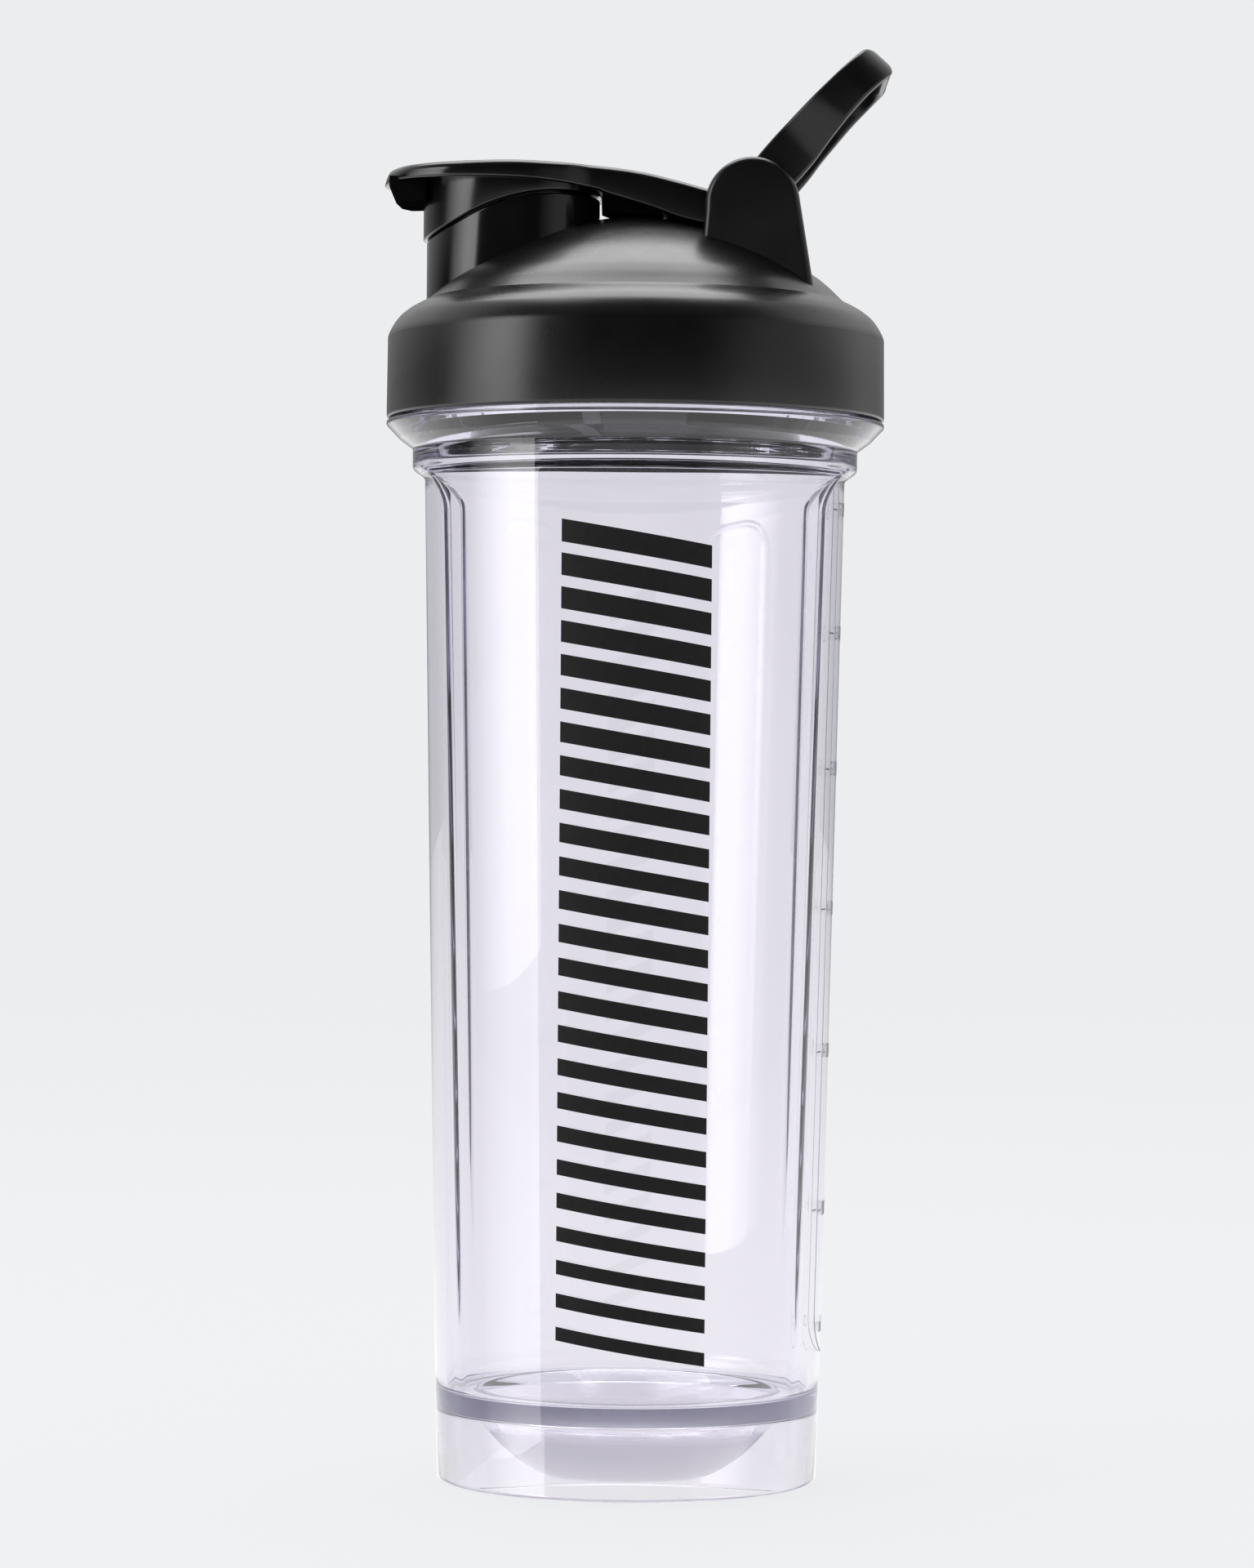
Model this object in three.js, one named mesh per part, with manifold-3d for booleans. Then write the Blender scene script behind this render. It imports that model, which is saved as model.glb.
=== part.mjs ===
// A clear screw-top shaker bottle: a one-piece moulded bottle, a screw lid with a drinking spout,
// a flip cap with a soft stopper, a swinging carry loop and a sealing ring.
// Millimetres, +Z up. The origin is on the bottle's axis, in the plane that it stands on.
// +X points to the lid's hinge side, so the spout is on the -X side.
import * as THREE from "three";
import { mergeVertices, toCreasedNormals } from "three/addons/utils/BufferGeometryUtils.js";
import Module from "manifold-3d";

const wasm = await Module();
wasm.setup();

// ---- Driving dimensions ----

const BOTTLE_SIDES = 60; // facets round the bottle
const LID_SIDES = 48; // facets round the lid
const WALL = 2.2; // bottle wall
const FOOT_R = 37.0; // outer radius at the standing plane
const BODY_TAPER = 0.0327; // growth of the radius per millimetre of height
const BODY_TOP_Z = 197.3; // where the tapered body meets the straight neck band
const FLOOR_Z = 14.1; // underside of the floor, above the hollow foot
const FLOOR_THICKNESS = 3.5;
const BOWL_UNDER_Z = 2.7; // lowest point of the bowl-shaped bottom
const BOWL_WALL = 2.5;

const NECK_BAND_R = 43.5;
const COLLAR_Z = 200.9; // where the clear collar starts to flare
const COLLAR_TOP_Z = 206.4;
const COLLAR_R = 48.7;
const FINISH_R = 44.2; // outer radius of the threaded finish
const MOUTH_R = 41.8;
const RIM_Z = 222.4;

const GRIP_FROM_Z = 14.2; // the grip recesses deepen upwards from here
const GRIP_TOP_Z = 197.2;
const GRIP_SLOPE = 0.0128; // recess depth per millimetre of height
const GRIP_FULL_ANGLE = 25; // degrees from the X axis, where the recess is at full depth
const GRIP_EDGE_ANGLE = 35; // degrees from the X axis, where the recess ends
const GRIP_TOP_STEP = 2.4; // height of the step at the recess top
const GRIP_ARCH = 8; // how far the recess top drops from its middle to its sides

const THREAD_LEAD = 8; // rise of the lid in one turn
const THREAD_DEPTH = 1.6;
const THREAD_ROOT = 2.6; // height of a ridge at its root
const THREAD_CREST = 1.4; // height of a ridge at its crest
const NECK_THREAD_Z = 209.6; // centre of the neck's ridge where it starts
const THREAD_OFFSET = 2.3; // the lid's ridge runs this far under the neck's ridge
const THREAD_STEP = 7.5; // degrees

const LID_SKIRT_Z = 206.8;
const LID_R = 48.7; // at the skirt's bottom edge
const LID_BORE_R = 46.2;
const GASKET_SEAT_Z = 224.5;
const SPOUT_X = -24.2;
const SPOUT_R = 16.9;
const LIP_R = 15.1; // the spout's upper lip, inside the flip cap's skirt
const SPOUT_BORE_R = 13.0;
const LIP_Z = 251.4;

const HINGE_X = 22.2;
const HINGE_Z = 247.4;
const EAR_R = 9.1;
const EAR_INNER_Y = 16;
const EAR_OUTER_Y = 20;
const PIN_R = 2.2;
const PIN_HOLE_R = 2.55;
const PIN_END_Y = 18.2;
const BARREL_R = 4.4;
const BARREL_HALF = 12.5;

const CAP_SKIRT_R = 17.6;
const CAP_POCKET_R = 15.6;
const CAP_POCKET_Z = 252.4; // underside of the plate inside the skirt
const CAP_SEAM_GAP = 0.4; // between the cap's skirt and the spout's shoulder
const DOME_GAP = 0.5; // between the cap's web and the lid's dome
const ARM_HALF = 12.5; // half width of the cap beside the hinge
const WEB_HALF = 7; // half width of the deep web under the arm

const LOOP_TILT = 48; // degrees above +X at rest
const LOOP_LENGTH = 38.6;
const LOOP_THICKNESS = 2.7;
const LOOP_HALF_IN = 15.6; // half width between the ears
const LOOP_HALF_OUT = 18.6; // half width beyond the ears
const LOOP_EYE_R = 4.4;

// ---- Helpers ----

const DEGREE = Math.PI / 180;
const vec = ([x, y]) => new THREE.Vector2(x, y);
const smooth = (t) => THREE.MathUtils.smoothstep(t, 0, 1);

/** A manifold solid from any closed three.js geometry. */
function solid(geometry) {
  const bare = geometry.index ? geometry.clone() : geometry;
  bare.deleteAttribute("normal");
  bare.deleteAttribute("uv");
  const merged = mergeVertices(bare, 1e-4);
  const { index } = merged;
  const triangles = [];
  for (let i = 0; i < index.count; i += 3) {
    const corners = [index.getX(i), index.getX(i + 1), index.getX(i + 2)];
    if (new Set(corners).size === 3) triangles.push(...corners);
  }
  const mesh = new wasm.Mesh({
    numProp: 3,
    vertProperties: Float32Array.from(merged.attributes.position.array),
    triVerts: Uint32Array.from(triangles),
  });
  mesh.merge();
  return new wasm.Manifold(mesh);
}

/** A named mesh with flat and smooth faces told apart by a crease angle. */
function meshOf(body, name, look) {
  const { vertProperties, triVerts } = body.getMesh();
  const geometry = new THREE.BufferGeometry();
  geometry.setAttribute("position", new THREE.BufferAttribute(vertProperties, 3));
  geometry.setIndex(new THREE.BufferAttribute(triVerts, 1));
  const creased = toCreasedNormals(geometry, 35 * DEGREE);
  const mesh = new THREE.Mesh(creased, new THREE.MeshStandardMaterial(look));
  mesh.name = name;
  return mesh;
}

/** A body of revolution about +Z from a closed outline of [radius, z] points. */
function turned(outline, sides) {
  return new THREE.LatheGeometry(outline.map(vec), sides).rotateX(90 * DEGREE);
}

/** A straight cylinder along +Z. */
function post(radius, fromZ, toZ, x, sides) {
  const outline = [[0, fromZ], [radius, fromZ], [radius, toZ], [0, toZ]];
  return solid(turned(outline, sides).translate(x, 0, 0));
}

/** A cylinder along Y through the hinge axis, from -half to half. */
function hingeRod(radius, half, sides) {
  const rod = new THREE.CylinderGeometry(radius, radius, 2 * half, sides);
  return solid(rod.translate(HINGE_X, 0, HINGE_Z));
}

/** A side outline in X and Z, extruded along Y from fromY to toY. */
function sidePlate(shape, fromY, toY, bevel = 0) {
  const geometry = new THREE.ExtrudeGeometry(shape, {
    depth: toY - fromY - 2 * bevel,
    bevelEnabled: bevel > 0,
    bevelThickness: bevel,
    bevelSize: bevel,
    bevelOffset: -bevel,
    bevelSegments: 2,
    curveSegments: 10,
  });
  return solid(geometry.translate(0, 0, bevel).rotateX(90 * DEGREE).translate(0, toY, 0));
}

/** An outline in X and Y, extruded upwards. */
function planPrism(shape, fromZ, toZ) {
  const settings = { depth: toZ - fromZ, bevelEnabled: false, curveSegments: 10 };
  return solid(new THREE.ExtrudeGeometry(shape, settings).translate(0, 0, fromZ));
}

/** A helical ridge: a trapezoid swept by bending a straight extrusion round the axis. */
function threadRidge(rootR, crestR, centreZ, fromAngle, toAngle) {
  const inside = crestR < rootR;
  const bite = inside ? 0.4 : -0.4; // sinks the root into its wall
  const section = [
    [rootR + bite, -THREAD_ROOT / 2],
    [crestR, -THREAD_CREST / 2],
    [crestR, THREAD_CREST / 2],
    [rootR + bite, THREAD_ROOT / 2],
  ];
  const steps = Math.round((toAngle - fromAngle) / THREAD_STEP);
  const settings = { depth: toAngle - fromAngle, steps, bevelEnabled: false };
  const ridge = new THREE.ExtrudeGeometry(new THREE.Shape(section.map(vec)), settings);
  const { position } = ridge.attributes;
  for (let i = 0; i < position.count; i += 1) {
    const angle = (fromAngle + position.getZ(i)) * DEGREE;
    const z = centreZ + position.getY(i) + (THREAD_LEAD * angle) / (2 * Math.PI);
    const radius = position.getX(i);
    position.setXYZ(i, radius * Math.cos(angle), -radius * Math.sin(angle), z);
  }
  // The sweep runs clockwise seen from above, and mirroring it makes the right-hand thread.
  const body = solid(ridge);
  return body.mirror([0, 1, 0]);
}

// ---- Bottle ----

const bodyRadius = (z) => FOOT_R + BODY_TAPER * z;

/** How far the wall is drawn in at this height and angle from the X axis, in degrees. */
function gripDepth(z, angle) {
  const across = smooth((GRIP_EDGE_ANGLE - angle) / (GRIP_EDGE_ANGLE - GRIP_FULL_ANGLE));
  const top = GRIP_TOP_Z - GRIP_ARCH * (angle / GRIP_EDGE_ANGLE) ** 4;
  const under = smooth((top - z) / GRIP_TOP_STEP);
  return Math.max(0, GRIP_SLOPE * (z - GRIP_FROM_Z)) * across * under;
}

function bottleBody() {
  const bowl = [[0, 0], [12.5, 0], [16.5, 1.1], [20.5, 3.2], [24.5, 6.2], [28, 9.7]];
  const floorTop = FLOOR_Z + FLOOR_THICKNESS;
  const wallRows = [150, 184, 188, 191, 193.5, 195, 196.1];
  const outline = [
    ...bowl.map(([r, z]) => [r, BOWL_UNDER_Z + z]),
    [30, FLOOR_Z],
    [FOOT_R - WALL, FLOOR_Z],
    [FOOT_R - WALL, 0.6],
    [FOOT_R - WALL + 0.6, 0],
    [FOOT_R - 0.6, 0],
    [bodyRadius(0.6), 0.6],
    [bodyRadius(GRIP_FROM_Z), GRIP_FROM_Z],
    ...wallRows.map((z) => [bodyRadius(z), z]),
    [NECK_BAND_R, BODY_TOP_Z],
    [NECK_BAND_R, COLLAR_Z],
    [COLLAR_R - 2.5, COLLAR_Z + 2],
    [COLLAR_R - 1.1, COLLAR_Z + 3.5],
    [COLLAR_R, COLLAR_TOP_Z - 0.5],
    [COLLAR_R, COLLAR_TOP_Z],
    [FINISH_R, COLLAR_TOP_Z],
    [FINISH_R, RIM_Z - 0.5],
    [FINISH_R - 0.5, RIM_Z],
    [MOUTH_R + 0.5, RIM_Z],
    [MOUTH_R, RIM_Z - 0.5],
    [MOUTH_R, COLLAR_Z],
    ...wallRows.toReversed().map((z) => [bodyRadius(z) - WALL, z]),
    [bodyRadius(floorTop + 1.5) - WALL, floorTop + 1.5],
    [bodyRadius(floorTop) - WALL - 1.2, floorTop],
    [29.2, floorTop],
    ...bowl.toReversed().map(([r, z]) => [Math.max(0, r * 0.92), BOWL_UNDER_Z + BOWL_WALL + z]),
  ];
  const shell = turned(outline, BOTTLE_SIDES);
  const { position } = shell.attributes;
  for (let i = 0; i < position.count; i += 1) {
    const [x, y, z] = [position.getX(i), position.getY(i), position.getZ(i)];
    const radius = Math.hypot(x, y);
    if (radius < 30 || z < GRIP_FROM_Z || z > GRIP_TOP_Z) continue;
    const angle = Math.atan2(Math.abs(y), Math.abs(x)) / DEGREE;
    const scale = 1 - gripDepth(z, angle) / radius;
    position.setXY(i, x * scale, y * scale);
  }
  const ridge = threadRidge(FINISH_R, FINISH_R + THREAD_DEPTH, NECK_THREAD_Z, 0, 405);
  return meshOf(solid(shell).add(ridge), "bottle_body", {
    color: 0xb9b3cc,
    roughness: 0.05,
    metalness: 0,
    transparent: true,
    opacity: 0.35,
  });
}

// ---- Lid ----

/** The seam between the flip cap's skirt and the spout, in X and Z, as a prism below it. */
function belowSeam(drop) {
  const seam = new THREE.Shape();
  seam.moveTo(-60, 210);
  seam.lineTo(-60, 239 - drop);
  seam.lineTo(-42.5, 241.2 - drop);
  seam.splineThru([[-36, 244.1], [-30.3, 246.8], [-24.7, 248.7], [-18.7, 249.9], [-13, 250.3]]
    .map(([x, z]) => new THREE.Vector2(x, z - drop)));
  seam.lineTo(0, 250.3 - drop);
  seam.lineTo(0, 210);
  return sidePlate(seam, -30, 30);
}

function earShape() {
  const ear = new THREE.Shape();
  ear.moveTo(HINGE_X - EAR_R - 1.6, 226);
  ear.lineTo(HINGE_X - EAR_R, HINGE_Z - 0.8);
  ear.absarc(HINGE_X, HINGE_Z, EAR_R, 180 * DEGREE, 7 * DEGREE, true);
  ear.lineTo(HINGE_X + EAR_R + 3, 230);
  ear.lineTo(HINGE_X + EAR_R + 3.2, 226);
  return ear;
}

/** The lid's outer shape as a solid, its dome raised by the given amount. */
function lidOutside(rise = 0) {
  const skirt = [[0, LID_SKIRT_Z], [LID_R, LID_SKIRT_Z]];
  const shoulder = [[LID_R - 0.4, 223.3], [47.5, 225.2], [45.9, 226.8], [43.4, 228.2], [40.7, 229.2]];
  const dome = [
    [39.4, 231.3], [37.6, 233], [34.7, 235.2], [28.5, 238.9],
    [20.5, 242.4], [12.5, 244.8], [6.1, 246.1], [0, 246.4],
  ];
  const raised = [...shoulder, ...dome].map(([r, z]) => [r, z + rise]);
  return solid(turned([...skirt, ...raised], LID_SIDES));
}

function lid() {
  const inside = [
    [0, LID_SKIRT_Z - 5], [LID_BORE_R, LID_SKIRT_Z - 5], [LID_BORE_R, GASKET_SEAT_Z],
    [40.8, GASKET_SEAT_Z], [39.2, 226.6], [37.8, 229.6], [35.9, 231.5], [33.4, 233.4],
    [27.4, 236.9], [19.7, 240.2], [12, 242.5], [0, 244.1],
  ];
  const hollow = solid(turned(inside, LID_SIDES));
  const spout = post(SPOUT_R, 226, LIP_Z, SPOUT_X, 40).intersect(belowSeam(CAP_SEAM_GAP));
  const lip = post(LIP_R, 226, LIP_Z, SPOUT_X, 40);
  let body = lidOutside().add(spout).add(lip);
  for (const side of [-1, 1]) {
    const ends = [side * EAR_INNER_Y, side * EAR_OUTER_Y].sort((a, b) => a - b);
    body = body.add(sidePlate(earShape(), ...ends, 1));
  }
  body = body.subtract(hollow).subtract(post(SPOUT_BORE_R, 220, LIP_Z + 5, SPOUT_X, 40));
  body = body.subtract(hingeRod(PIN_HOLE_R, PIN_END_Y + 0.4, 20));
  const ridgeTop = LID_BORE_R - THREAD_DEPTH;
  body = body.add(threadRidge(LID_BORE_R, ridgeTop, NECK_THREAD_Z - THREAD_OFFSET, 60, 420));
  return meshOf(body, "lid", { color: 0x1a1a1b, roughness: 0.55, metalness: 0 });
}

function lidGasket() {
  const [inner, outer] = [41.6, LID_BORE_R - 0.4];
  const [low, high] = [RIM_Z + 0.3, GASKET_SEAT_Z - 0.3];
  const ring = [[inner, low], [outer, low], [outer, high], [inner, high], [inner, low]];
  const body = solid(turned(ring, LID_SIDES));
  return meshOf(body, "lid_gasket", { color: 0x3a3a3c, roughness: 0.8, metalness: 0 });
}

// ---- Flip cap ----

function capPlan() {
  const edge = [
    [-49.4, 0], [-48.2, 6], [-44.6, 11.8], [-37.5, 16.6],
    [-30, 18.4], [-22, 18.2], [-14.5, 15.6], [-8.5, ARM_HALF],
  ];
  const near = edge.map(([x, y]) => new THREE.Vector2(x, -y));
  const far = edge.map(vec).reverse();
  const hingeSide = HINGE_X + 10;
  const plan = new THREE.Shape();
  plan.moveTo(hingeSide, ARM_HALF);
  plan.lineTo(-8.5, ARM_HALF);
  plan.splineThru([...far.slice(1), ...near.slice(1, -1), near.at(-1)]);
  plan.lineTo(hingeSide, -ARM_HALF);
  return plan;
}

function capSide() {
  const side = new THREE.Shape();
  side.moveTo(-49.6, 253.8);
  side.lineTo(-48.8, 254.8);
  side.splineThru([
    [-46.5, 255.3], [-34, 255.6], [-22, 255.8], [-10, 255.6],
    [0, 254.5], [8, 252.7], [15, 250.9], [HINGE_X, 250.2],
  ].map(vec));
  side.lineTo(HINGE_X, 244.2);
  side.lineTo(17, 244.2);
  side.lineTo(14, 244.1);
  side.lineTo(8.1, 245.4);
  side.lineTo(2.9, 247.3);
  side.lineTo(-5.8, 249.9);
  side.lineTo(-8.6, 250.8);
  side.lineTo(-20, 252);
  side.lineTo(-42, 252.6);
  side.lineTo(-49.2, 252);
  return side;
}

function flipCap() {
  const web = new THREE.Shape([
    [-6.9, 251.5], [-6.9, 247.7], [-3.9, 247], [6, 246.7],
    [12.5, 245.3], [18, 243.4], [HINGE_X, 243.2], [HINGE_X, 249],
  ].map(vec));
  const tab = new THREE.Shape([
    [-48.2, 253], [-48.2, 251.6], [-46.6, 248.8], [-41, 248.6], [-41, 253],
  ].map(vec));
  const plate = sidePlate(capSide(), -20, 20).intersect(planPrism(capPlan(), 235, 260));
  const skirt = post(CAP_SKIRT_R, 235, CAP_POCKET_Z + 1, SPOUT_X, 40).subtract(belowSeam(0));
  const body = plate
    .add(skirt)
    .add(sidePlate(tab, -9, 9))
    .subtract(post(CAP_POCKET_R, 230, CAP_POCKET_Z, SPOUT_X, 40))
    .add(sidePlate(web, -WEB_HALF, WEB_HALF))
    .subtract(lidOutside(DOME_GAP))
    .add(hingeRod(BARREL_R, BARREL_HALF, 24))
    .add(hingeRod(PIN_R, PIN_END_Y, 20));
  return meshOf(body, "flip_cap", { color: 0x111112, roughness: 0.22, metalness: 0 });
}

function spoutStopper() {
  const high = CAP_POCKET_Z - 0.3;
  const plug = [[0, 248.8], [11.2, 248.8], [12.5, 250.2], [12.5, high], [0, high]];
  const body = solid(turned(plug, 32).translate(SPOUT_X, 0, 0));
  return meshOf(body, "spout_stopper", { color: 0x3a3a3c, roughness: 0.8, metalness: 0 });
}

// ---- Carry loop ----

/** The loop lying along +X with its hinge axis at the origin, its width along Y. */
function carryLoop() {
  const round = 1.2; // of the strap's end
  const lower = [[8, -3.2], [14, -3.1], [20, -2.5], [29, -2.1], [LOOP_LENGTH - round, -2.6]];
  const upper = [[28, 5.3], [18, 5.8], [12, 5.9], [6, 5.6], [0, 4.6]];
  const strap = new THREE.Shape();
  strap.moveTo(0, -3);
  strap.splineThru(lower.map(vec));
  strap.lineTo(LOOP_LENGTH, round - 2.6);
  strap.lineTo(LOOP_LENGTH, 4.6 - round);
  strap.lineTo(LOOP_LENGTH - round, 4.6);
  strap.splineThru(upper.map(vec));

  const settings = { depth: 60, bevelEnabled: false, curveSegments: 6 };
  const side = new THREE.ExtrudeGeometry(strap, settings).rotateX(90 * DEGREE).translate(0, 30, 0);
  const eye = new THREE.CylinderGeometry(LOOP_EYE_R, LOOP_EYE_R, 60, 28);
  const hole = new THREE.CylinderGeometry(PIN_HOLE_R, PIN_HOLE_R, 60, 20);

  const plan = new THREE.Shape();
  const [narrow, wide, corner] = [LOOP_HALF_IN, LOOP_HALF_OUT, 9];
  plan.moveTo(-8, narrow);
  plan.lineTo(15.5, narrow);
  plan.bezierCurveTo(19, narrow, 20.5, wide, 24, wide);
  plan.lineTo(LOOP_LENGTH - corner, wide);
  plan.absarc(LOOP_LENGTH - corner, wide - corner, corner, 90 * DEGREE, 0, true);
  plan.absarc(LOOP_LENGTH - corner, corner - wide, corner, 0, -90 * DEGREE, true);
  plan.lineTo(24, -wide);
  plan.bezierCurveTo(20.5, -wide, 19, -narrow, 15.5, -narrow);
  plan.lineTo(-8, -narrow);
  const [inNarrow, inWide] = [narrow - LOOP_THICKNESS, wide - LOOP_THICKNESS];
  const inCorner = corner - LOOP_THICKNESS;
  const inEnd = LOOP_LENGTH - LOOP_THICKNESS - inCorner;
  plan.lineTo(-8, -inNarrow);
  plan.lineTo(15, -inNarrow);
  plan.bezierCurveTo(18.5, -inNarrow, 20, -inWide, 23.5, -inWide);
  plan.lineTo(inEnd, -inWide);
  plan.absarc(inEnd, inCorner - inWide, inCorner, -90 * DEGREE, 0, false);
  plan.absarc(inEnd, inWide - inCorner, inCorner, 0, 90 * DEGREE, false);
  plan.lineTo(23.5, inWide);
  plan.bezierCurveTo(20, inWide, 18.5, inNarrow, 15, inNarrow);
  plan.lineTo(-8, inNarrow);

  const body = solid(side)
    .add(solid(eye))
    .intersect(planPrism(plan, -12, 12))
    .subtract(solid(hole));
  const mesh = meshOf(body, "carry_loop", { color: 0x161617, roughness: 0.4, metalness: 0 });
  mesh.position.set(HINGE_X, 0, HINGE_Z);
  mesh.rotation.y = -LOOP_TILT * DEGREE;
  return mesh;
}

const shaker = new THREE.Group();
shaker.name = "shaker_bottle";
shaker.add(bottleBody(), lidGasket(), lid(), flipCap(), spoutStopper(), carryLoop());

export default shaker;
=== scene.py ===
import math

import bmesh
import bpy
import numpy as np
from mathutils import Matrix, Vector


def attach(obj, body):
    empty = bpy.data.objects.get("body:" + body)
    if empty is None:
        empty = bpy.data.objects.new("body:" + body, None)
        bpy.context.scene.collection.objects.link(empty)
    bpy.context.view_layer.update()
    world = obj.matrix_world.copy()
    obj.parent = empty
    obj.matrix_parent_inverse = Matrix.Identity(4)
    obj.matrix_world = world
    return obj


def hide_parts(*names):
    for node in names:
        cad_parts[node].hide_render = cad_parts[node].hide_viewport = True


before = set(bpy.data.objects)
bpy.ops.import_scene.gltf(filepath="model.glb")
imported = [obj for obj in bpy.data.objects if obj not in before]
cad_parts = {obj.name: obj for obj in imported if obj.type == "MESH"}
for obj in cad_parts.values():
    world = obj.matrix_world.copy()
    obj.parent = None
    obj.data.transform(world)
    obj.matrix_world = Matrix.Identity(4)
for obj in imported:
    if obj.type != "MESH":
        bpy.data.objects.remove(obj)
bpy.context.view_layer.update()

MM = 0.001  # outlines below are in millimetres, and meshes are made in metres

# ---- Driving sizes, in millimetres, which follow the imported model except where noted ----

FOOT_R = 37.0
BODY_TAPER = 0.0327
BODY_TOP_Z = 197.3
WALL = 2.2
FLOOR_Z = 14.1
FLOOR_TOP_Z = 17.6
BOWL_UNDER_Z = 2.7
BOWL_WALL = 2.5
NECK_BAND_R = 43.5
COLLAR_Z = 200.9
COLLAR_TOP_Z = 206.4
COLLAR_R = 48.7
FINISH_R = 44.2
MOUTH_R = 41.8
THROAT_R = 40.5  # the inside's narrowest, level with the collar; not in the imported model
RIM_Z = 222.4

GRIP_FROM_Z = 14.2
GRIP_TOP_Z = 197.2
GRIP_SLOPE = 0.0128
GRIP_FULL_ANGLE = 26.5  # degrees; 25 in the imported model, which has a softer edge
GRIP_EDGE_ANGLE = 33  # 35 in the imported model
GRIP_TOP_STEP = 2.4
GRIP_ARCH = 8

THREAD_LEAD = 8
THREAD_DEPTH = 1.6
THREAD_ROOT = 2.6
THREAD_CREST = 1.4
NECK_THREAD_Z = 209.6
LID_THREAD_Z = 207.3
NECK_THREAD_TURN = (0, 405)  # the degrees at which the thread starts and ends
LID_THREAD_TURN = (60, 420)
THREAD_RUN_IN = 14  # degrees over which a thread's end fades out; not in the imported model

LID_SKIRT_Z = 206.8
LID_R = 48.7
LID_BORE_R = 46.2
GASKET_SEAT_Z = 224.5
SPOUT_X = -24.2
SPOUT_R = 16.9
LIP_R = 15.1
LIP_Z = 251.4
BORE_R = 13.0
SEAM_GAP = 0.4

HINGE_X = 22.2
HINGE_Z = 247.4
EAR_R = 9.1
EAR_INNER_Y = 16
EAR_OUTER_Y = 20
PIN_R = 2.2
PIN_HOLE_R = 2.55
PIN_END_Y = 18.2
BARREL_R = 4.4
BARREL_HALF = 12.5

SKIRT_R = 17.6
POCKET_R = 15.6
POCKET_Z = 252.4
WEB_HALF = 7
TAB_HALF = 9

LOOP_TILT = math.radians(48)
LOOP_LENGTH = 38.6
LOOP_THICKNESS = 2.7
LOOP_HALF_IN = 15.6
LOOP_HALF_OUT = 18.6
LOOP_CORNER_R = 9
LOOP_EYE_R = 4.4
LOOP_END_ROUND = 2.0  # 1.2 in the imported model


# ---- Outlines ----

def smooth(t):
    """0 up to t = 0, 1 from t = 1, with an even curve between them."""
    t = np.clip(t, 0, 1)
    return t * t * (3 - 2 * t)


def spline(points, per_span=8):
    """A Catmull-Rom curve through the points."""
    p = np.array(points, float)
    p = np.vstack([2 * p[0] - p[1], p, 2 * p[-1] - p[-2]])
    curve = []
    for a, b, c, d in zip(p[:-3], p[1:-2], p[2:-1], p[3:]):
        for t in np.arange(per_span) / per_span:
            curve.append(0.5 * (2 * b + (c - a) * t + (2 * a - 5 * b + 4 * c - d) * t**2
                                + (3 * b - a - 3 * c + d) * t**3))
    return [tuple(q) for q in curve] + [tuple(p[-2])]


def rounded(points, radius, steps=4):
    """The open outline, with each inner corner turned into an arc."""
    p = [np.array(q, float) for q in points]
    outline = [tuple(p[0])]
    for before, corner, after in zip(p[:-2], p[1:-1], p[2:]):
        back, ahead = before - corner, after - corner
        reach_back, reach_ahead = np.linalg.norm(back), np.linalg.norm(ahead)
        back, ahead = back / reach_back, ahead / reach_ahead
        turn = math.pi - math.acos(np.clip(back @ ahead, -1, 1))
        if turn < math.radians(8):
            outline.append(tuple(corner))
            continue
        reach = min(radius * math.tan(turn / 2), 0.48 * reach_back, 0.48 * reach_ahead)
        for t in np.linspace(0, 1, steps + 1):
            a = corner + back * reach
            b = corner + ahead * reach
            outline.append(tuple((1 - t)**2 * a + 2 * t * (1 - t) * corner + t**2 * b))
    return outline + [tuple(p[-1])]


def quarter_round(radius, steps):
    """A rounded edge as (inset, drop) pairs, from the side's full width up to the top."""
    return [(radius * (1 - math.cos(t)), radius * (1 - math.sin(t)))
            for t in np.linspace(0, math.pi / 2, steps)]


def divided(points, step):
    """The outline with no stretch longer than the step."""
    outline = [points[0]]
    for a, b in zip(points[:-1], points[1:]):
        parts = max(1, math.ceil(math.dist(a, b) / step))
        for k in range(1, parts + 1):
            outline.append(tuple(np.array(a) + (np.array(b) - np.array(a)) * k / parts))
    return outline


def reader(points, per_span=10):
    """A function that gives the height of the spline through the points at any x."""
    curve = np.array(spline(points, per_span))
    return lambda x: np.interp(x, curve[:, 0], curve[:, 1])


# ---- Meshes ----

def new_piece(name, vertices, faces):
    """An object made from vertices in millimetres."""
    mesh = bpy.data.meshes.new(name)
    mesh.from_pydata((np.asarray(vertices, float) * MM).tolist(), [], faces)
    piece = bpy.data.objects.new(name, mesh)
    bpy.context.scene.collection.objects.link(piece)
    return piece


def clean(piece, angle=30):
    """Merges doubled points, turns the faces outwards, and keeps edges above the angle sharp."""
    shape = bmesh.new()
    shape.from_mesh(piece.data)
    bmesh.ops.remove_doubles(shape, verts=shape.verts, dist=2e-6)
    bmesh.ops.dissolve_degenerate(shape, edges=shape.edges, dist=1e-7)
    bmesh.ops.recalc_face_normals(shape, faces=shape.faces)
    shape.to_mesh(piece.data)
    shape.free()
    piece.data.shade_smooth()
    piece.data.set_sharp_from_angle(angle=math.radians(angle))
    return piece


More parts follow.
